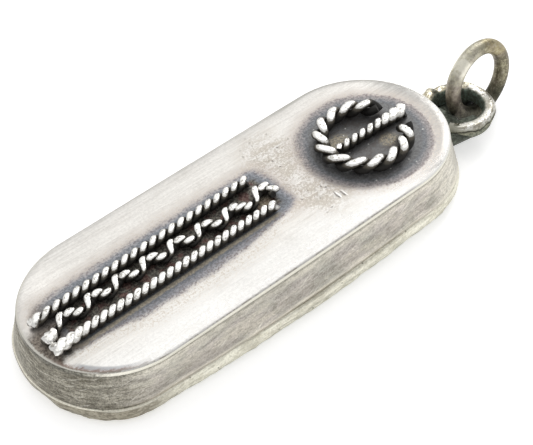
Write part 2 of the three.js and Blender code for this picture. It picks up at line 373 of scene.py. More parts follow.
def wall_finish():
    f = Finish("wall_silver")
    x, z = f.x, f.z
    patches = f.cloud(0.42, 4, 0.6)
    dust = f.cloud(9.0, 3, 0.75)
    streaks, brushed, fine, grain, scratch, across, stains = (
        f.cloud(1.0, detail, rough, f.mapped((along, along, up), turned=turned, axis="Y_AXIS"))
        for detail, rough, along, up, turned in (
            (5, 0.7, 0.35, 5, 0), (4, 0.75, 0.4, 5, 0), (3, 0.7, 0.8, 26, 0.04),
            (4, 0.7, 1.7, 7, 0.06), (2, 0.5, 0.5, 12, 0.5), (2, 0.5, 0.7, 14, -0.8),
            (5, 0.65, 0.3, 1.3, 0.05)))
    left_end = f.under(x + patches * 4, -13.0, -9.2)
    right_end = f.step(x - patches * 3, 8.5, 12.5)
    lower = f.under(z + (patches - 0.5) * 0.8, 1.6, 3.3)
    lower = lower * f.step(z + (streaks - 0.5) * 0.5, 1.2, 1.9)
    pits = f.step(0.09 - f.specks(1.7) + (grain - 0.5) * 0.08, 0.0, 0.03)
    stained = f.two_tone(streaks + (patches - 0.5) * 0.5, 0.4, 0.62,
                         (0.38, 0.36, 0.30), (0.18, 0.165, 0.13))
    marks = f.step(scratch, 0.64, 0.68) + f.step(across, 0.67, 0.7) * 0.7
    colour = f.layered(
        f.two_tone(patches, 0.4, 0.62, (0.62, 0.575, 0.53), (0.46, 0.45, 0.40)),
        (f.step(streaks, 0.45, 0.66) * 0.5, (0.38, 0.36, 0.34)),
        (f.step(stains, 0.5, 0.6) * 0.45, (0.74, 0.70, 0.59)),
        (f.step(1 - stains, 0.5, 0.6) * 0.55, (0.29, 0.27, 0.25)),
        (f.step(z + patches * 1.6, 3.4, 4.2) * 0.6, (0.76, 0.72, 0.62)),
        (f.step(z + (patches - 0.5) * 0.5, 3.38, 3.48) * 0.6, (0.80, 0.76, 0.65)),
        (lower * 0.42, (0.37, 0.335, 0.28)),
        (right_end * 0.85, (0.82, 0.79, 0.70)),
        (right_end * f.step(brushed, 0.5, 0.56) * 0.55, (0.52, 0.48, 0.40)),
        (pits * right_end * 0.8, (0.25, 0.19, 0.15)),
        # Stained dark at the left end, and painted darker still there as shade
        (left_end * 0.88, stained),
        (f.step(grain, 0.48, 0.6) * (0.3 + left_end * 0.35), (0.13, 0.12, 0.09)),
        (f.step(1 - grain, 0.54, 0.66) * left_end * 0.5, (0.44, 0.42, 0.34)),
        (f.step(fine, 0.56, 0.74) * 0.4, (0.83, 0.81, 0.75)),
        (f.step(1 - fine, 0.6, 0.78) * 0.4, (0.24, 0.225, 0.20)),
        (marks * 0.45, (0.80, 0.78, 0.70)))
    # Painted shade where it turns away at the right end and high on the near side, and painted
    # light at its foot against the shade of the seam
    turned = f.step(x + (patches - 0.5) * 0.6, 13.2, 15.2)
    painted_high_shade = f.near((-3.5, -7.0), (7.0, 1.6)) * f.step(z, 2.2, 3.2)
    foot = f.under(z + (streaks - 0.5) * 0.5, 1.2, 1.6)
    colour = f.scaled(colour, (1 + (dust - 0.5) * (1.2 + left_end * 1.4))
                      * (1 - turned * 0.3) * (1 - painted_high_shade * 0.16))
    colour = f.blend(foot * (1 - left_end) * 0.5, colour, (0.92, 0.87, 0.74))
    height = streaks * 0.006 + fine * 0.003 + patches * 0.03 + grain * 0.005 - marks * 0.004
    return f.finish(colour, 0.36 + streaks * 0.12 + left_end * 0.12 + grain * 0.08, height)


# The wall's foot stands out almost as far as the lip at the right end only
right_end_share = np.clip((base_plan[:, 0] - wall_spread_from) / wall_spread_over, 0, 1)
wall_rows = []
for share in np.linspace(0, 1, wall_row_count):
    bulge = math.sin(math.pi * share)
    inset = (wall_foot_inset * (1 - share) + wall_bow * bulge) * (1 - 0.85 * right_end_share)
    row = outline_at(wall_bottom + (wall_top - wall_bottom) * share, inset[:, None])
    press_in(row, np.maximum(0, uneven(row, *wall_dents)) * bulge)
    wall_rows.append(row)
wall_rows.append(outline_at(wall_top, wall_thickness))
wall_rows.append(outline_at(wall_bottom, wall_inner_inset))
make_piece("side_wall_worn", wall_rows, True,
           wall_finish(), "pendant", ["side_wall"])

# Front plate
# A thick sheet of silver with a softened edge, soldered on the wall and brushed along its length.
# The oxide that blackened the wires is left on it round them, and is rubbed away elsewhere.
front_top_inset = 0.06
front_bottom = body_height - front_plate_thickness
plate_lower_edge = (0, 0), (0.05, 0.015), (0.1, 0.032), (0.16, 0.048), (0.22, 0.058)
plate_upper_edge = (0.18, 0.058), (0.15, 0.05), (0.115, 0.03), (0.088, -0.01), (0.076, -0.055)
plate_top_shares = (0.05, 0.08, 0.12, 0.17, 0.23, 0.3, 0.38, 0.46, 0.54, 0.62, 0.7, 0.78,
                    0.86, 0.93, 0.97)
plate_dents = (0.02, 5.0)
plate_sag = 0.075
plate_sag_fade = 9
flatter_from = 8.0
flatter_over = 4.0
rails_middle = (-5.75, 0.28, 0)
rails_half_size = (8.0, 1.35, 0)
ring_mark_middle = (10.2, -0.5, 0)


def read_plate(f):
    """The places and noises that more than one part of the plate's finish uses."""
    f.streaks = f.cloud(1.0, 5, 0.65, f.mapped((0.22, 6, 6), turned=0.03))
    f.fine = f.cloud(1.0, 3, 0.7, f.mapped((0.9, 20, 20), turned=-0.02))
    f.patches = f.cloud(0.4, 4, 0.6)
    f.fringe = f.cloud(1.1, 5, 0.62, f.mapped((0.7, 1.2, 1)))
    f.grain = f.cloud(5.5, 4, 0.7)
    f.dust = f.cloud(13.0, 3, 0.7)
    f.speckle = f.step(f.grain, 0.36, 0.64) - 0.5
    # How far each place is from the oblong that the rails take up, and from the ring's middle
    block = f.vector("ABSOLUTE", f.mapped((1, 1, 0), rails_middle, -0.012))
    block = f.vector("MAXIMUM", f.vector("SUBTRACT", block, rails_half_size), (0, 0, 0))
    f.rails = f.vector("LENGTH", block, output="Value")
    f.disc = f.distance((1, 1, 0), ring_mark_middle)
    f.near_side = f.under(f.y, -1.2, 0.8)
    f.trough = f.under(f.rails + (f.grain - 0.5) * 0.3, 0.0, 0.3)
    f.fillet = (f.step(f.rails, 0.62, 0.74) * f.under(f.rails + (f.grain - 0.5) * 0.3, 0.9, 1.05)
                * f.under(f.y, -1.2, -0.9) * f.step(f.x + f.fringe * 6, -13.0, -10.0)
                * f.under(f.x, 1.2, 2.0))


def worn_silver(f):
    """The bare plate: brushed, with a polish along its near edge, a faint painted sheen there, a
    painted highlight at the near left, painted light at the far left and painted shade at its right
    end.
    """
    # Painted light and shade: sheen on the polish, highlight near left, light far left, shade at
    # the right end
    polish_and_sheen = f.under(f.y + (f.patches - 0.5) * 1.2 + (f.streaks - 0.5), -4.6, -3.0)
    painted_right_shade = f.step(f.x - f.y * 0.4 + (f.streaks - 0.5) * 3, 12.0, 15.0)
    painted_far_left_light = f.near((-15.0, 3.5), (4.0, 4.5))
    painted_near_left_highlight = f.near((-9.5, -4.6), (6.5, 2.4))
    colour = f.layered(
        f.two_tone(f.streaks, 0.3, 0.7, (0.86, 0.84, 0.80), (0.74, 0.715, 0.675)),
        (f.step(f.fine, 0.5, 0.72) * 0.35, (0.55, 0.53, 0.49)),
        (f.step(f.patches, 0.5, 0.72) * 0.3, (0.62, 0.595, 0.55)),
        (polish_and_sheen * 0.55, (0.775, 0.77, 0.755)))
    return f.scaled(colour, 0.85 + polish_and_sheen * 0.015 - painted_right_shade * 0.42 + painted_far_left_light * 0.11
                    + painted_near_left_highlight * 0.05 + (f.dust - 0.5) * 0.24 + f.speckle * 0.09)


def oxide_area(f):
    """Where oxide is left: round the rails, round the open ring and over the left tip. Its
    border is ragged on the far side, and smoother and crisper on the near side."""
    spread = 1.25 - f.step(f.x, -1.0, 2.0) * 0.15
    near_spread = f.step(f.x, -13.0, -9.0) * 0.7 + 1.2 - f.step(f.x, -3.0, 3.0) * 0.75
    spread = spread + (near_spread - spread) * f.near_side
    ragged = 1 - f.near_side * 0.55
    f.away = (f.reckon("MINIMUM", f.rails / spread, (f.disc - 3.75) / 0.95)
              + ((f.fringe - 0.5) * 0.7 + f.speckle * 0.22) * ragged + (f.streaks - 0.5) * 0.35)
    f.left_tip = (f.under(f.y + (f.grain - 0.5) * 0.5, 0.3, 1.3)
                  * f.under(f.x - f.y * 0.55 + (f.grain - 0.5) * 0.3, -14.4, -14.0))
    f.on_disc = f.under(f.disc, 5.2, 5.7)
    crisp = (1 + f.near_side * f.under(f.x, 1.0, 4.0) * 1.6
             + f.on_disc * f.step(f.x - f.y * 0.6, 10.5, 12.5) * 1.2)
    oxide = f.under((f.away - 0.93) * crisp + (f.dust - 0.5) * 0.3 * ragged, -0.3, 0.3)
    return f.reckon("MAXIMUM", oxide, f.left_tip)


def oxide_tones(f):
    """Blue grey oxide, brown at its border, with dirt between the rails, a brown fillet along the
    lower rail's foot painted paler against the wire's shade, three spots of solder, pale flecks and
    a brown left end."""
    inside = f.under(f.disc, 2.9, 3.4) * f.step(f.grain + (f.fringe - 0.5) * 0.8, 0.48, 0.6)
    tinted = f.step(f.away, 0.5, 0.85) * f.step(1 - f.grain, 0.5, 0.6)
    red = f.step(f.cloud(1.7, 2), 0.48, 0.62) * f.trough
    solder = (f.near((8.8, 0.6), (1.0, 0.8)) + f.near((11.4, -1.6), (0.8, 0.7))
              + f.near((1.55, -0.35), (0.7, 0.8)))
    flecks = f.step(0.12 - f.specks(1.6) + (f.dust - 0.5) * 0.1, 0.0, 0.03)
    brown_end = f.under(f.x, -15.3, -12.8) * f.step(f.away, 0.1, 0.5)
    brown_tip = f.left_tip + f.under(f.x, -14.3, -13.2) * f.trough * 0.8
    colour = f.ramp(f.away * 0.8, (
        (0.0, (0.20, 0.20, 0.20)), (0.25, (0.195, 0.205, 0.22)), (0.45, (0.26, 0.275, 0.30)),
        (0.65, (0.34, 0.335, 0.35)), (0.85, (0.46, 0.42, 0.39)), (1.0, (0.60, 0.55, 0.49))))
    return f.layered(
        f.scaled(colour, 0.98 + f.speckle * 0.42 + (f.dust - 0.5) * 0.5),
        (f.on_disc * f.step(f.away, 0.2, 0.6) * 0.6,
         f.two_tone(f.grain, 0.4, 0.6, (0.27, 0.245, 0.235), (0.42, 0.37, 0.34))),
        (inside * 0.6, (0.085, 0.068, 0.055)),
        (tinted * 0.6, (0.27, 0.20, 0.19)),
        (f.trough * 0.85,
         f.two_tone(f.grain, 0.42, 0.62, (0.045, 0.038, 0.032), (0.25, 0.23, 0.18))),
        # The fillet is solder, painted paler than its own colour to lift the wire's shade
        (f.fillet * 0.75, f.two_tone(f.grain, 0.42, 0.6, (0.70, 0.62, 0.47), (0.36, 0.30, 0.21))),
        (red * 0.75, f.two_tone(f.grain, 0.4, 0.6, (0.11, 0.05, 0.045), (0.23, 0.13, 0.11))),
        (solder * f.step(f.grain + (f.dust - 0.5) * 0.5, 0.38, 0.56) * 0.85,
         f.two_tone(f.dust, 0.4, 0.6, (0.60, 0.545, 0.41), (0.26, 0.215, 0.15))),
        (flecks * f.under(f.disc, 4.1, 4.4) * 0.8, (0.74, 0.74, 0.70)),
        (brown_end * 0.75, f.blend(f.grain, (0.14, 0.115, 0.09), (0.44, 0.38, 0.32))),
        (brown_tip * 0.85,
         f.two_tone(f.grain, 0.38, 0.62, (0.075, 0.058, 0.045), (0.33, 0.285, 0.235))))


def marked(f, colour):
    """Adds the mottled, pitted patch between rails and ring, two ticks below it each with a burr
    painted bright as a highlight, and the haze round the oxide. Gives the colour and how deep the
    marks are."""
    between = f.near((4.9, 0.4), (3.4, 5.5))
    blotched = between * f.step(f.grain + f.fringe * 0.5, 0.68, 0.82)
    mottled = blotched + f.step(f.dust + (f.patches - 0.5) * 0.4, 0.62, 0.75) * 0.35
    flecked = f.band(f.away, 0.85, 1.0, 1.2, 1.9)
    pits = f.step(0.15 - f.specks(1.7) + (f.grain - 0.5) * 0.4, 0.0, 0.05) * between
    ticks = f.near((5.35, -3.1), (0.09, 0.42)) + f.near((5.75, -3.25), (0.08, 0.36))
    burr_highlights = f.near((5.46, -3.14), (0.08, 0.42)) + f.near((5.86, -3.3), (0.07, 0.36))
    haze = f.under(f.away + (f.dust - 0.5) * 0.6, 0.9, 2.1) * (0.6 - f.near_side * 0.2)
    colour = f.layered(
        colour,
        (between * f.step(f.fringe, 0.45, 0.6) * 0.3, (0.62, 0.56, 0.47)),
        (blotched * 0.5, (0.35, 0.30, 0.23)),
        (mottled * 0.3, (0.40, 0.36, 0.32)),
        (flecked * f.step(f.grain + (f.dust - 0.5) * 0.6, 0.5, 0.6) * 0.6, (0.42, 0.35, 0.27)),
        ((pits + ticks) * 0.75, (0.20, 0.18, 0.16)),
        # Painted highlights on the burrs beside the ticks
        (burr_highlights, (0.98, 0.97, 0.94)),
        (haze * (1 - f.near_side * f.step(3.0 - f.x, 0.0, 2.0)), (0.50, 0.455, 0.42)))
    return colour, (pits + ticks) * 0.02 + mottled * 0.008


def edged(f, colour):
    """Adds the edge: a cream side, dark at the left tip, and above it a thin broken brown line,
    with a painted highlight at both ends of the edge, a painted shadow along it at the near left
    tip and painted shade on its far rounded side. Gives the colour, how rough and how unlike metal
    the edge is."""
    level = f.z + (f.grain - 0.5) * 0.03 + (f.streaks - 0.5) * 0.05
    left_end = f.under(f.x, -14.0, -11.0)
    right_end = f.step(f.x, 8.0, 10.5)
    dark_side = f.two_tone(
        f.y + (f.grain - 0.5) * 2, -5.2, -3.6, (0.86, 0.83, 0.73),
        f.two_tone(f.grain, 0.44, 0.6, (0.24, 0.23, 0.19), (0.09, 0.085, 0.065)))
    side = f.blend(left_end, f.blend(f.streaks, (0.80, 0.78, 0.68), (0.66, 0.64, 0.55)), dark_side)
    edge = f.band(level, 3.835, 3.85, 3.915, 3.93)
    line = f.band(level, 3.85, 3.87, 3.895, 3.915)
    line = line * (0.05 + f.step(f.fringe + (f.grain - 0.5) * 0.8, 0.47, 0.58) * 0.6)
    # Painted highlights at the left and right ends of the edge
    pale_edge_line = f.under(f.x - f.y * 0.35 + (f.grain - 0.5) * 1.2, -13.6, -12.4)
    # Painted shade on the far rounded edge, and a painted shadow along the edge at the near left
    # tip
    shaded_shoulder = f.under(f.z, 3.93, 3.955) * f.step(f.y, 1.0, 4.0) * f.step(f.x, 5.0, 9.0)
    painted_edge_shadow = f.band(f.z, 3.922, 3.93, 3.94, 3.952) * left_end * f.under(f.y, -3.4, -2.6)
    red_line = f.band(level, 3.895, 3.91, 3.922, 3.938) * left_end * f.under(f.y, -2.5, -1.0)
    crease = f.under(f.z, front_bottom + 0.01, front_bottom + 0.06)
    colour = f.layered(
        colour,
        (f.under(level, 3.84, 3.86) * 0.95, side),
        (line, (0.25, 0.20, 0.13)),
        (edge * pale_edge_line * 0.85, (0.78, 0.76, 0.69)),
        (edge * right_end, (0.97, 0.96, 0.92)),
        (shaded_shoulder * 0.6, (0.42, 0.41, 0.37)),
        (painted_edge_shadow * 0.7, (0.24, 0.25, 0.27)),
        (red_line * 0.75, (0.20, 0.12, 0.09)),
        (crease * 0.15, (0.16, 0.15, 0.12)))
    return (colour, edge * (1 - line) * 0.3,
            edge * (1 - line * (1 - right_end)) * (0.6 + right_end * 0.35))


def plate_finish():
    f = Finish("plate_silver")
    read_plate(f)
    oxide = oxide_area(f)
    bare = 1 - oxide
    colour, dug = marked(f, worn_silver(f))
    scuffs = f.step(f.fine + f.streaks * 0.3, 0.74, 0.9) * bare
    colour = f.layered(colour, (oxide, oxide_tones(f)), (scuffs * 0.35, (0.50, 0.475, 0.43)))
    colour, edge_rough, edge_dull = edged(f, colour)
    roughness = (0.36 + oxide * 0.2 + (f.streaks - 0.5) * 0.12 + (f.fine - 0.5) * 0.1
                 - f.under(f.y, -5.4, -3.2) * bare * 0.08 + edge_rough)
    height = f.streaks * 0.006 + f.fine * 0.004 + f.patches * 0.02 + oxide * f.grain * 0.016 - dug
    return f.finish(
        colour, roughness, height,
        metallic=1 - oxide * 0.35 - f.left_tip * 0.3 - f.fillet * oxide * 0.5 - edge_dull)


plate_rows = [outline_at(front_bottom + up, -proud) for up, proud in plate_lower_edge]
plate_rows += [outline_at(body_height - down, -proud) for down, proud in plate_upper_edge]
rim = outline_at(body_height, front_top_inset)
spine = np.column_stack([np.clip(rim[:, 0], -top_half_straight, top_half_straight),
                         np.zeros(len(rim)), np.full(len(rim), body_height)])
# Worn down most along its rim, and less so at the right end
sag = plate_sag * (1 - 0.6 * np.clip((rim[:, 0] - flatter_from) / flatter_over, 0, 1))
for share in plate_top_shares:
    row = rim + (spine - rim) * share
    row[:, 2] -= sag * math.exp(-share * plate_sag_fade) + np.abs(uneven(row, *plate_dents))
    plate_rows.append(row)
make_piece("front_plate_worn", plate_rows, False,
           plate_finish(), "pendant", ["front_plate"])

# Straight twisted wires: two rails, and the bar through the open ring
# Each is a pair of round wires twisted together, soldered on the front plate, blackened, and
# then rubbed bright on top, where a file has left a small flat on every lobe.
wire_seat_gap = 0.01
strand_clearance = 0.016
strand_sides = 20
filed_crown = 0.12


def wire_finish():
    f = Finish("wire_silver")
    height, wear = (f.node("ShaderNodeAttribute", {"attribute_name": name}, output="Fac")
                    for name in ("lobe_height", "wear"))
    grain = f.cloud(6.0, 4, 0.65)
    dents = f.cloud(2.5, 3, 0.6)
    pitted = f.step(f.cloud(3.6, 4, 0.7), 0.56, 0.61)
    rubbed = height + (grain - 0.5) * 0.2 + wear * 0.5
    bright = f.step(rubbed, 0.87, 0.93)
    grime = f.ramp(rubbed, (
        (0.0, (0.007, 0.006, 0.005)), (0.7, (0.014, 0.012, 0.009)), (0.87, (0.12, 0.105, 0.08))))
    silver = f.blend(grain, (0.96, 0.95, 0.92), (0.84, 0.83, 0.79))
    silver = f.blend(pitted * 0.62, silver, (0.24, 0.215, 0.165))
    relief = grain * 0.03 * bright + dents * 0.05 - pitted * 0.012
    return f.finish(f.blend(bright, grime, silver), 0.6 - bright * 0.32, relief,
                    metallic=0.2 + bright * 0.8)


wire_silver = wire_finish()


def strand_tree():
    """Winds one strand round the middle line it is given, closes its ends and files its top."""
    tree = bpy.data.node_groups.new("Wound strand", "GeometryNodeTree")
    face = tree.interface
    face.new_socket("Middle line", in_out="INPUT", socket_type="NodeSocketGeometry")
    for name in ("Strand radius", "Offset", "Start angle", "Plate height", "Filed height",
                 "Wear depth", "Crown"):
        face.new_socket(name, in_out="INPUT", socket_type="NodeSocketFloat")
    face.new_socket("Finish", in_out="INPUT", socket_type="NodeSocketMaterial")
    face.new_socket("Strand", in_out="OUTPUT", socket_type="NodeSocketGeometry")
    r = Recipe(tree)
    given = tree.nodes.new("NodeGroupInput")
    value = {socket.name: Reading(r, socket) for socket in given.outputs if socket.name}
    twist, wear, swell = (
        r.node("GeometryNodeInputNamedAttribute", {"data_type": "FLOAT"}, {0: name})
        for name in ("twist", "wear", "swell"))
    line = r.node("GeometryNodeMeshToCurve", inputs={0: value["Middle line"]})
    side = r.vector("CROSS_PRODUCT", (0, 0, 1), r.node("GeometryNodeInputTangent"))
    angle = value["Start angle"] - twist
    across = r.scaled(r.vector("NORMALIZE", side), value["Offset"] * r.reckon("COSINE", angle))
    rise = r.node("ShaderNodeCombineXYZ", inputs={"Z": value["Offset"] * r.reckon("SINE", angle)})
    line = r.node("GeometryNodeSetPosition", inputs={
        "Geometry": line, "Offset": r.vector("ADD", across, rise)})
    ring = r.node("GeometryNodeCurvePrimitiveCircle", inputs={
        "Resolution": strand_sides, "Radius": value["Strand radius"]})
    strand = r.node("GeometryNodeCurveToMesh", inputs={
        "Curve": line, "Profile Curve": ring, "Scale": swell, "Fill Caps": True})
    z = r.node("ShaderNodeSeparateXYZ", inputs={0: r.node("GeometryNodeInputPosition")}, output="Z")
    over = r.reckon("MAXIMUM", z - value["Filed height"] + wear * value["Wear depth"])
    filed = r.node("ShaderNodeCombineXYZ", inputs={"Z": over * (value["Crown"] - 1)})
    height = (z - value["Plate height"]) / (value["Filed height"] - value["Plate height"])
    strand = r.node("GeometryNodeStoreNamedAttribute", {"data_type": "FLOAT", "domain": "POINT"},
                    {"Geometry": strand, "Name": "lobe_height", "Value": height})
    strand = r.node("GeometryNodeSetPosition", inputs={"Geometry": strand, "Offset": filed})
    strand = r.node("GeometryNodeSetShadeSmooth", inputs={0: strand})
    strand = r.node("GeometryNodeRealizeInstances", inputs={0: strand})
    strand = r.node("GeometryNodeSetMaterial", inputs={0: strand, "Material": value["Finish"]})
    r.node("NodeGroupOutput", inputs={0: strand})
    return tree


strand_nodes = strand_tree()


def twisted_pair(name, middle, twist, strand_radius, start_twist, wear, swell=1, depth=0,
                 filed=0.45):
    """Two strands wound round a middle line of points in millimetres. Wear says where the pair
    is rubbed bright and down by the depth, or below 0 where it stays black, swell where it is
    thicker, and filed how much of a strand's radius is filed off every lobe."""
    axis_height = body_height + wire_seat_gap + 2 * strand_radius + strand_clearance
    middle = np.column_stack([middle, np.full(len(middle), axis_height)]) * mm
    top = axis_height + 2 * strand_radius + strand_clearance
    inputs = {
        "Strand radius": strand_radius * mm,
        "Offset": (strand_radius + strand_clearance) * mm,
        "Plate height": body_height * mm,
        "Filed height": (top - filed * strand_radius) * mm,
        "Wear depth": depth * mm,
        "Crown": filed_crown,
        "Finish": wire_silver,
    }
    for index, letter in enumerate("ab"):
        mesh = bpy.data.meshes.new("middle_line")
        count = len(middle)
        mesh.from_pydata([tuple(p) for p in middle], [(i, i + 1) for i in range(count - 1)], [])
        for label, values in (("twist", twist), ("wear", wear), ("swell", swell)):
            given = mesh.attributes.new(label, "FLOAT", "POINT")
            given.data.foreach_set("value", np.broadcast_to(values, count).astype(float))
        line = placed("middle_line", mesh)
        winding = line.modifiers.new("Winding", "NODES")
        winding.node_group = strand_nodes
        inputs["Start angle"] = math.radians(start_twist) + index * math.pi
        for item in strand_nodes.interface.items_tree:
            if item.name in inputs:
                winding[item.identifier] = inputs[item.name]
        ready = line.evaluated_get(bpy.context.evaluated_depsgraph_get())
        strand_mesh = bpy.data.meshes.new_from_object(ready)
        bpy.data.objects.remove(line)
        node = f"{name}_strand_{letter}"
        strand_mesh.name = node + "_filed"
        finish_piece(placed(node + "_filed", strand_mesh), "pendant", [node])


def straight_pair(name, start, end, strand_radius, turn_length, start_twist, marks, depth=0,
                  filed=0.45):
    """Marks are (x, wear, swell) along the wire, with straight changes between them."""
    steps_per_turn = 28
    turns = math.dist(start, end) / turn_length
    share = np.linspace(0, 1, round(turns * steps_per_turn) + 1)[:, None]
    middle = np.array(start) * (1 - share) + np.array(end) * share
    places, worn, thick = zip(*marks)
    twisted_pair(
        name, middle, 2 * math.pi * turns * share[:, 0], strand_radius, start_twist,
        np.interp(middle[:, 0], places, worn), np.interp(middle[:, 0], places, thick),
        depth, filed)


straight_pair(
    "upper_rail", start=(-15.4, 1.14), end=(1.7, 1.64),
    strand_radius=0.2, turn_length=1.5, start_twist=0,
    marks=((-15.4, 1, 1.25), (-14.9, 0.7, 1.1), (-14.5, 0, 1), (1.2, 0, 1), (1.7, 0.4, 1)))
straight_pair(
    "lower_rail", start=(-15.5, -1.5), end=(1.72, -1.36),
    strand_radius=0.19, turn_length=1.26, start_twist=49,
    marks=((-15.5, 1, 1.4), (-14.4, 0.9, 1.25), (-13.0, 0.2, 1.04), (1.1, 0, 1.04), (1.7, 1, 1)),
    depth=0.15, filed=0.6)
bar_start = top_half_straight - 2.27
bar_end = top_half_straight + 3.58
straight_pair(
    "bar", start=(bar_start, -0.4), end=(bar_end, -0.46),
    strand_radius=0.207, turn_length=1.38, start_twist=-57,
    marks=((bar_start, 0, 0.92), (11.5, 0.1, 1), (12.6, 0.4, 1.35), (bar_end, 0.6, 1.6)),
    depth=0.1)

# Waved wire between the rails
# The same twisted pair, bent into waves by hand. It makes one half turn on each rise and two on
# each fall, so three lobes show on every wave, and its right end curls over against the plate.
wave_start = (-15.45, -0.6)
wave_first_trough = -14.62
wave_period = 2.13
wave_periods = 6
wave_rise = 1.06
wave_middle = -0.01
wave_arch = 0.22
wave_swing = 0.33
wave_tail = ((-0.78, 0.3, 1), (0.6, -0.4, 3), (1.82, 0.48, 1), (2.3, 0.16, 1), (2.4, -0.5, 1))
wave_steps_per_knot = 24

knots = [wave_start]
half_turns = [0]
for count in range(wave_periods + 1):
    trough = wave_first_trough + count * wave_period
    level = wave_middle + wave_arch * math.sin(math.pi * count / wave_periods)
    knots.append((trough, level - wave_swing))
    half_turns.append(half_turns[-1] + 2)
    if count < wave_periods:
        knots.append((trough + wave_rise, level + wave_swing))
        half_turns.append(half_turns[-1] + 1)
for x, y, turned in wave_tail:
    knots.append((x, y))
    half_turns.append(half_turns[-1] + turned)


def smooth_line(knots, places):
    """A centripetal spline through the knots; a place of 2.5 is halfway from knot 2 to knot 3."""
    knots = np.array(knots)
    knots = np.concatenate([[2 * knots[0] - knots[1]], knots, [2 * knots[-1] - knots[-2]]])
    gaps = np.sqrt(np.linalg.norm(np.diff(knots, axis=0), axis=1))
    points = []
    for place in places:
        at = min(int(place), len(knots) - 4)
        share = place - at
        p = knots[at:at + 4]
        g = gaps[at:at + 3]
        leave = ((p[1] - p[0]) / g[0] - (p[2] - p[0]) / (g[0] + g[1]) + (p[2] - p[1]) / g[1]) * g[1]
        reach = ((p[2] - p[1]) / g[1] - (p[3] - p[1]) / (g[1] + g[2]) + (p[3] - p[2]) / g[2]) * g[1]
        s2, s3 = share ** 2, share ** 3
        points.append(
            (2 * s3 - 3 * s2 + 1) * p[1] + (s3 - 2 * s2 + share) * leave
            + (3 * s2 - 2 * s3) * p[2] + (s3 - s2) * reach)
    return np.array(points)


places = np.linspace(0, len(knots) - 1, wave_steps_per_knot * (len(knots) - 1) + 1)
wave_twist = math.pi * np.interp(places, range(len(knots)), half_turns)
wave_line = smooth_line(knots, places)
# Each rise is rubbed to a leaf shape, broad at its crest and pointed at its foot
in_period = (places - 1) % 2
wave_wear = np.interp(in_period, (0, 0.3, 0.88, 1, 1.12, 1.4, 1.5, 1.6, 1.9, 2),
                      (-0.2, 0, 0.1, -0.45, 0, 0, -0.15, 0, 0, -0.3))
wave_wear += np.interp(wave_line[:, 0], (-15.45, -14.9, -14.6, 2.3, 2.45), (1.2, 0.8, 0, 0, 0.5))
wave_swell = np.interp(in_period, (0, 0.3, 0.75, 1, 1.25, 1.5, 1.75, 2),
                       (0.6, 0.85, 1.22, 1.08, 1.3, 1.02, 1.22, 0.7))
wave_swell *= np.interp(wave_line[:, 0], (-15.45, -14.8, 1.2, 2.0), (1.4, 1, 1, 1.1))
twisted_pair("wave", wave_line, wave_twist, strand_radius=0.182, start_twist=0,
             wear=wave_wear, swell=wave_swell, filed=0.6)

# Open ring
# A thicker twisted pair bent into a ring. The bar runs out through the gap in it.
ring_centre = np.array([top_half_straight - 0.22, -0.64])
open_ring_radius = 2.87
ring_turn_length = 2.5
ring_steps_per_turn = 40
gap_from = math.radians(-24)
gap_to = math.radians(26)
sweep = 2 * math.pi + gap_from - gap_to
turns = open_ring_radius * sweep / ring_turn_length
share = np.linspace(0, 1, round(turns * ring_steps_per_turn) + 1)
angle = gap_to + sweep * share
middle = ring_centre + open_ring_radius * np.stack([np.cos(angle), np.sin(angle)], 1)
# Both ends are painted black as shade, hiding the second strand's end
shaded_ring_ends = np.interp(share, (0, 0.035, 0.055, 0.965, 0.98, 1), (-1, -0.8, 0, 0, -0.5, -1))
twisted_pair("ring", middle, 2 * math.pi * turns * share, strand_radius=0.285, start_twist=50,
             wear=shaded_ring_ends, filed=0.6)

# Hanging loop
# A thick strip bent round on edge and soldered to the end wall. The chain's pull has worn its
# upper rim bright; verdigris is left inside it, where nothing rubs. Its far side reaches lower.
loop_centre = np.array([18.86, -0.72])
loop_middle_radius = 2.165
loop_strip_width = 0.97
loop_strip_height = 1.15
loop_strip_round = 0.38
loop_bottom = 0.78
loop_far_drop = 0.78
loop_far_side = -0.04
loop_far_slope = 0.06
loop_from = -152
loop_to = 140
loop_steps = 180
loop_foot_lean = 0.3
loop_lean_middle = -50
loop_lean_spread = 32
loop_stub_rise = 0.26
loop_stub_flare = 0.14
loop_dents = (0.09, 0.8)


def loop_rim_tones(f, radius, grain, patches, dust):
    """The rim: worn bright, dirtier on its far side, with a folded lip, a notch and grooves."""
    fold = f.near((20.9, 0.42), (0.62, 0.42))
    notch = f.near((18.6, 1.1), (0.34, 0.75)) + f.near((19.75, 1.45), (0.16, 0.4)) * 0.8
    grooves = f.cloud(1.0, 3, 0.6, f.node("ShaderNodeCombineXYZ", inputs={
        "X": radius * 4, "Y": patches * 8, "Z": f.z * 2}))
    uncovered = grain + (dust - 0.5) * 0.5
    gaps = f.near((17.6, -2.1), (0.8, 0.3)) * f.step(uncovered, 0.4, 0.5)
    return notch, f.layered(
        f.two_tone(patches, 0.4, 0.66, (0.93, 0.92, 0.87), (0.66, 0.64, 0.56)),
        (f.step(f.y, 0.1, 1.0),
         f.two_tone(uncovered, 0.4, 0.6, (0.84, 0.80, 0.66), (0.36, 0.31, 0.20))),
        (f.step(dust, 0.52, 0.64) * 0.6, (0.34, 0.30, 0.22)),
        (fold * 0.8, f.two_tone(grain, 0.4, 0.6, (0.90, 0.86, 0.70), (0.30, 0.24, 0.13))),
        (notch * 0.9, (0.05, 0.05, 0.038)),
        (f.step(grooves, 0.53, 0.58) * 0.7, (0.24, 0.21, 0.15)),
        (gaps, (0.07, 0.068, 0.045)))


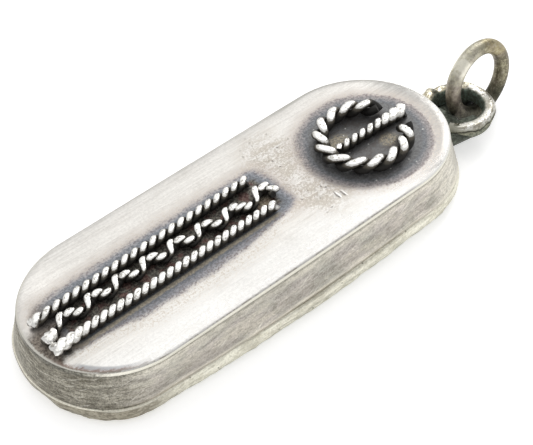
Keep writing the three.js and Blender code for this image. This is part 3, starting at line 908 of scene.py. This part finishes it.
def loop_finish():
    f = Finish("loop_silver")
    x, y, z = f.x, f.y, f.z
    radius = f.distance((1, 1, 0), (*loop_centre, 0))
    grain = f.cloud(4.0, 5, 0.65)
    patches = f.cloud(1.1, 4, 0.6)
    dust = f.cloud(9.0, 3, 0.7)
    bead_side = f.near((17.6, -2.05), (0.9, 0.6))
    inside = f.under(radius + (grain - 0.5) * 0.25 + bead_side * 0.3, 1.78, 2.0)
    outside = 1 - inside
    whole_rim = f.step(z + (patches - 0.5) * 0.3, 1.6, 1.84) * outside
    tapered = f.under(x + (grain - 0.5) * 0.8, 16.9, 17.5) * f.under(y, -1.8, -1.0)
    rim = whole_rim * (1 - tapered * 0.9)
    notch, rim_tones = loop_rim_tones(f, radius, grain, patches, dust)
    near_wall = f.under(x + (patches - 0.5) * 2, 19.6, 21.2)
    olive = f.layered(
        f.two_tone(grain + (dust - 0.5) * 0.6, 0.42, 0.56, (0.06, 0.07, 0.05), (0.36, 0.385, 0.30)),
        (f.step(z + dust * 0.8, 1.5, 1.9) * 0.6, (0.47, 0.45, 0.33)),
        (f.step(f.cloud(2.4, 4, 0.7), 0.5, 0.58) * 0.7, (0.07, 0.085, 0.06)))
    wavy = z + (patches - 0.5) * 0.5
    burr = f.band(wavy, 1.5, 1.56, 1.6, 1.66) * outside * f.under(y, -2.2, -1.4)
    # Painted shade: darker low on the outside, and near black underneath
    low = f.under(z + patches * 0.4, 1.0, 1.5)
    shaded_underside = f.under(z, 0.7, 0.8)
    colour = f.layered(
        f.blend(grain, (0.50, 0.49, 0.41), (0.26, 0.26, 0.20)),
        (near_wall * 0.9 * (1 - whole_rim), olive),
        (rim, rim_tones),
        (inside, f.two_tone(grain, 0.4, 0.65, (0.075, 0.085, 0.062), (0.15, 0.20, 0.165))),
        (burr * 0.9, (0.05, 0.045, 0.035)),
        (low * 0.5 * outside, (0.20, 0.19, 0.14)),
        (shaded_underside, (0.035, 0.036, 0.028)))
    height = grain * 0.04 + patches * 0.05 + dust * 0.008 - burr * 0.06 - notch * rim * 0.08
    dull = f.reckon("MAXIMUM", inside, near_wall * (1 - rim))
    dull = f.reckon("MAXIMUM", dull, shaded_underside)
    return f.finish(colour, 0.3 + dull * 0.35 + grain * 0.1, height, metallic=1 - dull * 0.55)


def strip_section(half_width, half_height, round_by, per_corner=7):
    """A rounded oblong, as points (outward, up)."""
    points = []
    for right, up, start in ((1, -1, -90), (1, 1, 0), (-1, 1, 90), (-1, -1, 180)):
        for angle in np.radians(np.linspace(start, start + 90, per_corner)):
            points.append((right * (half_width - round_by) + round_by * math.cos(angle),
                           up * (half_height - round_by) + round_by * math.sin(angle)))
    return np.array(points)


def loop_row(turned):
    """The strip's points at one place round the loop, in degrees from the +X direction."""
    angle = math.radians(turned)
    outward = np.array([math.cos(angle), math.sin(angle)])
    level = loop_bottom + loop_strip_height / 2
    plan = loop_centre + outward * (loop_middle_radius + section[:, :1])
    row = np.column_stack([plan, level + section[:, 1]])
    # The far side's lower edge drops
    lowered = np.clip((row[:, 1] - loop_far_side) / loop_far_slope, 0, 1)
    row[:, 2] -= loop_far_drop * lowered ** 2 * (3 - 2 * lowered) * (row[:, 2] < level)
    # The near side leans inward at its outer foot
    leaning = math.exp(-((turned - loop_lean_middle) / loop_lean_spread) ** 2)
    foot = (section[:, 0] > 0) * np.clip((level - row[:, 2]) / (loop_strip_height / 2), 0, 1)
    row[:, :2] -= outward * (loop_foot_lean * leaning * foot)[:, None]
    # The rim is folded over beside the jump ring, and stands up at the strip's far end
    folded = np.interp(turned, (12, 15, 24, 37, 38.5), (0, 0.03, 0.1, 0.13, 0))
    row[:, 2] += folded * (section[:, 1] > 0.5) * (section[:, 0] > -0.42 + (turned - 20) * 0.035)
    stub = np.interp(turned, (88, 96, 120, 140), (0, 1, 1, 0.4))
    row[:, 2] += loop_stub_rise * stub * (row[:, 2] > level)
    row[:, :2] += outward * loop_stub_flare * stub
    dents = np.abs(uneven(row * np.array([1, 1, 1.6]), *loop_dents))
    middle = np.array([*(loop_centre + outward * loop_middle_radius), level])
    return row - unit(row - middle) * dents[:, None]


section = strip_section(loop_strip_width / 2, loop_strip_height / 2, loop_strip_round)
loop_rows = [loop_row(turned) for turned in np.linspace(loop_from, loop_to, loop_steps)]
make_piece("hanging_loop_worn", loop_rows, False,
           loop_finish(), "pendant", ["hanging_loop"])

# Loop solder
# A rough bead on each face of the strip's near end, and a pool of the same solder inside the
# loop, that the jump ring lies against and that runs on along the strip's far side. All of it
# has tarnished a dark grey green.
bead_radius = 0.5
outer_bead = (16.2, -2.2, 1.03), (17.85, -2.57, 1.13)
inner_bead = (17.5, -1.7, 1.12), (18.9, -2.1, 1.12)
pool_centre = (17.25, -0.6, 0.98)
pool_reach = (1.17, 1.75, 0.68)
pool_flatness = 0.75
far_run = (17.8, 0.75, 0.5), (19.2, 0.72, 0.34)
far_run_reach = (0.5, 0.5, 0.4)
solder_dents = (0.1, 0.6)


def solder_finish():
    f = Finish("solder_grey")
    grain = f.cloud(5.0, 5, 0.7)
    patches = f.cloud(1.6, 4, 0.6)
    colour = f.layered(
        f.two_tone(grain, 0.35, 0.65, (0.07, 0.08, 0.062), (0.22, 0.245, 0.20)),
        (f.step(patches, 0.48, 0.68) * 0.7, (0.04, 0.042, 0.032)))
    return f.finish(colour, 0.5 + grain * 0.2, grain * 0.06 + patches * 0.05, metallic=0.5)


solder_grey = solder_finish()


def solder_lump(name, start, end, reach, flatness=1.0):
    """A rough rounded lump from start to end, reaching out from them in x, y and z."""
    steps, levels = 48, 24
    depth, spread = solder_dents
    start, end = Vector(start), Vector(end)
    along = (end - start).normalized() if start != end else Vector((0, 0, 1))
    side = along.orthogonal().normalized()
    frame_up = along.cross(side)
    rows = []
    for tilt in np.linspace(-math.pi / 2, math.pi / 2, levels)[1:-1]:
        row = []
        for around in np.linspace(0, 2 * math.pi, steps, endpoint=False):
            outward = (side * math.cos(around) + frame_up * math.sin(around)) * math.cos(tilt)
            outward += along * math.sin(tilt)
            outward = Vector(math.copysign(abs(part) ** flatness, part) for part in outward)
            spot = (end if tilt > 0 else start) + outward * Vector(reach)
            row.append(spot - outward * abs(noise.noise(spot / spread)) * depth)
        rows.append(row)
    make_piece(name, rows, False, solder_grey, "pendant", ["loop_solder"])


solder_lump("loop_solder_outer_bead", *outer_bead, (bead_radius,) * 3)
solder_lump("loop_solder_inner_bead", *inner_bead, (bead_radius,) * 3)
solder_lump("loop_solder_pool", pool_centre, pool_centre, pool_reach, pool_flatness)
solder_lump("loop_solder_far_run", *far_run, far_run_reach)

# Jump ring
# A ring of round wire, sprung open to link it through the hanging loop and closed again. It is
# tarnished an olive brown, and rubbed paler on the leg that lies uppermost.
ring_wire_radius = 0.54
jump_ring_radius = 2.54
jump_ring_centre = np.array([21.07, -0.43, 2.7])
jump_ring_yaw = math.radians(2.3)
jump_ring_lean = math.radians(5)
jump_ring_steps = 144
ring_wire_sides = 28


def ring_finish():
    f = Finish("ring_silver")
    x, z = f.x, f.z
    grain = f.cloud(3.4, 5, 0.65)
    patches = f.cloud(0.9, 3, 0.6)
    dust = f.cloud(9.0, 3, 0.7)
    rubbed = f.step(z - (x - 21) * 0.8 + (patches - 0.5) * 2, 4.6, 6.0)
    golden = f.step(x + (patches - 0.5), 21.2, 22.2) * f.step(z, 3.6, 4.4)
    purple = f.under(x, 19.2, 20.2) * f.under(z + (patches - 0.5), 3.6, 4.4)
    colour = f.layered(
        f.two_tone(patches, 0.35, 0.65, (0.27, 0.245, 0.165), (0.15, 0.13, 0.09)),
        (rubbed * 0.7, (0.70, 0.67, 0.55)),
        (golden * 0.7, (0.43, 0.36, 0.20)),
        (purple * 0.6, (0.30, 0.245, 0.225)),
        (f.step(grain + (dust - 0.5) * 0.5, 0.48, 0.62) * 0.6, (0.50, 0.47, 0.33)),
        (f.step(1 - grain, 0.5, 0.66) * 0.5, (0.11, 0.095, 0.07)),
        (f.step(f.cloud(1.7, 3, 0.6), 0.5, 0.64) * 0.35, (0.22, 0.18, 0.185)))
    # A painted highlight on the outer side of the uppermost leg, and painted shade low down
    spot = f.distance((0.75, 0, 0.75), (19.45, 0, 4.85))
    outer_side = f.step(f.distance((1, 0, 1), jump_ring_centre), 2.4, 2.6)
    painted_gleam = f.under(spot + (grain - 0.5) * 0.9, 0.3, 0.7) * outer_side
    low = f.under(z + (patches - 0.5) * 0.8, 0.9, 2.0)
    colour = f.layered(
        f.scaled(colour, 1 + (dust - 0.5) * 0.9),
        (painted_gleam * 0.8, (0.95, 0.92, 0.80)),
        (low * 0.9, f.two_tone(grain, 0.4, 0.62, (0.045, 0.045, 0.032), (0.11, 0.105, 0.075))))
    height = grain * 0.03 + patches * 0.04 + dust * 0.008
    return f.finish(colour, 0.34 + grain * 0.18 + low * 0.1, height, metallic=0.95)


across = np.linspace(0, 2 * math.pi, ring_wire_sides, endpoint=False)
out = jump_ring_radius + ring_wire_radius * np.cos(across)
lean = Matrix.Rotation(-jump_ring_lean, 3, "X")
yaw = Matrix.Rotation(jump_ring_yaw, 3, "Z")
ring_rows = []
for around in np.linspace(0, 2 * math.pi, jump_ring_steps, endpoint=False):
    row = out * math.cos(around), ring_wire_radius * np.sin(across), out * math.sin(around)
    ring_rows.append(np.stack(row, 1) @ np.array(yaw @ lean).T + jump_ring_centre)
make_piece("jump_ring_wire", ring_rows, True,
           ring_finish(), "jump_ring_body", ["jump_ring"])

# Floor
# A plain pale sheet that the pendant lies on, touched by the box's left end and by the jump ring.
floor_reach = 2000
floor_gap = 0.01
left_foot = (-16.9, 0.0)
ring_foot = (21.0, -0.39)
floor_glow = 0.5
shaded_spot = (19.95 * mm, 0.38 * mm, 0)


def floor_finish():
    """Pale paper that also glows a little where the camera or a mirror sees it, except in the
    shaded spot inside the hanging loop, where the glow is left out as painted shade."""
    material = bpy.data.materials.new("floor_white")
    material.use_nodes = True
    r = Recipe(material.node_tree)
    r.tree.nodes.clear()
    paper = r.node("ShaderNodeBsdfDiffuse", inputs={"Color": (0.86, 0.86, 0.86, 1)})
    camera_ray, glossy_ray, clear_ray = (
        r.node("ShaderNodeLightPath", output=f"Is {kind} Ray")
        for kind in ("Camera", "Glossy", "Transmission"))
    seen = r.reckon("MAXIMUM", r.reckon("MAXIMUM", camera_ray, glossy_ray), clear_ray)
    place = r.node("ShaderNodeTexCoord", output="Object")
    away = r.vector("DISTANCE", place, shaded_spot, output="Value")
    glow = r.node("ShaderNodeEmission", inputs={
        "Color": (1, 1, 1, 1), "Strength": seen * floor_glow * r.step(away, 1.1 * mm, 1.6 * mm)})
    mixed = r.node("ShaderNodeAddShader", inputs={0: paper, 1: glow})
    r.node("ShaderNodeOutputMaterial", inputs={"Surface": mixed})
    return material


slope = (ring_foot[1] - left_foot[1]) / (ring_foot[0] - left_foot[0])
corners = []
for side_x, side_y in ((-1, -1), (1, -1), (1, 1), (-1, 1)):
    x = side_x * floor_reach
    height = left_foot[1] + slope * (x - left_foot[0]) - floor_gap
    corners.append((x * mm, side_y * floor_reach * mm, height * mm))
floor_mesh = bpy.data.meshes.new("floor")
floor_mesh.from_pydata(corners, [], [(0, 1, 2, 3)])
floor_mesh.materials.append(floor_finish())
floor = placed("floor", floor_mesh)

# Lamps
# A wide soft panel behind the pendant, which the front plate mirrors, a smaller key beside it
# that casts the shadows, and an even pale surround.
surround_strength = 0.66
world = bpy.data.worlds.new("surround")
bpy.context.scene.world = world
world.use_nodes = True
surround = world.node_tree.nodes["Background"]
surround.inputs["Color"].default_value = (1, 1, 1, 1)
surround.inputs["Strength"].default_value = surround_strength


def panel(name, towards, distance, size, radiance):
    """A square lamp that faces the pendant; its radiance is what a mirror would show of it."""
    lamp = bpy.data.lights.new(name, "AREA")
    lamp.shape = "SQUARE"
    lamp.size = size
    lamp.energy = radiance * math.pi * size * size
    holder = placed(name, lamp)
    direction = Vector(towards).normalized()
    holder.location = direction * distance
    holder.rotation_euler = direction.to_track_quat("Z", "Y").to_euler()


panel("back_panel", towards=(0.36, 0.46, 0.86), distance=0.5, size=0.42, radiance=0.8)
panel("key_panel", towards=(0.9, 0.42, 0.62), distance=0.5, size=0.15, radiance=7.3)

# Camera
# It looks down at the pendant from in front and to the left, at the photograph's own angle.
camera_place = Vector((-36.326, -53.531, 68.073))
camera_target = Vector((2.824, 1.434, -0.07))
camera_roll = math.radians(-6.283)
camera_lens = 95.835
back = (camera_place - camera_target).normalized()
right = Vector((0, 0, 1)).cross(back).normalized()
up = back.cross(right)
across = right * math.cos(camera_roll) + up * math.sin(camera_roll)
upward = up * math.cos(camera_roll) - right * math.sin(camera_roll)
camera = bpy.data.cameras.new("camera")
camera.lens = camera_lens
camera.sensor_width = 36
camera.clip_start = 0.001
camera.clip_end = 10
holder = placed("camera", camera)
holder.matrix_world = Matrix.Translation(camera_place * mm) @ Matrix(
    (across, upward, back)).transposed().to_4x4()
bpy.context.scene.camera = holder
bpy.context.scene.view_settings.view_transform = "Standard"
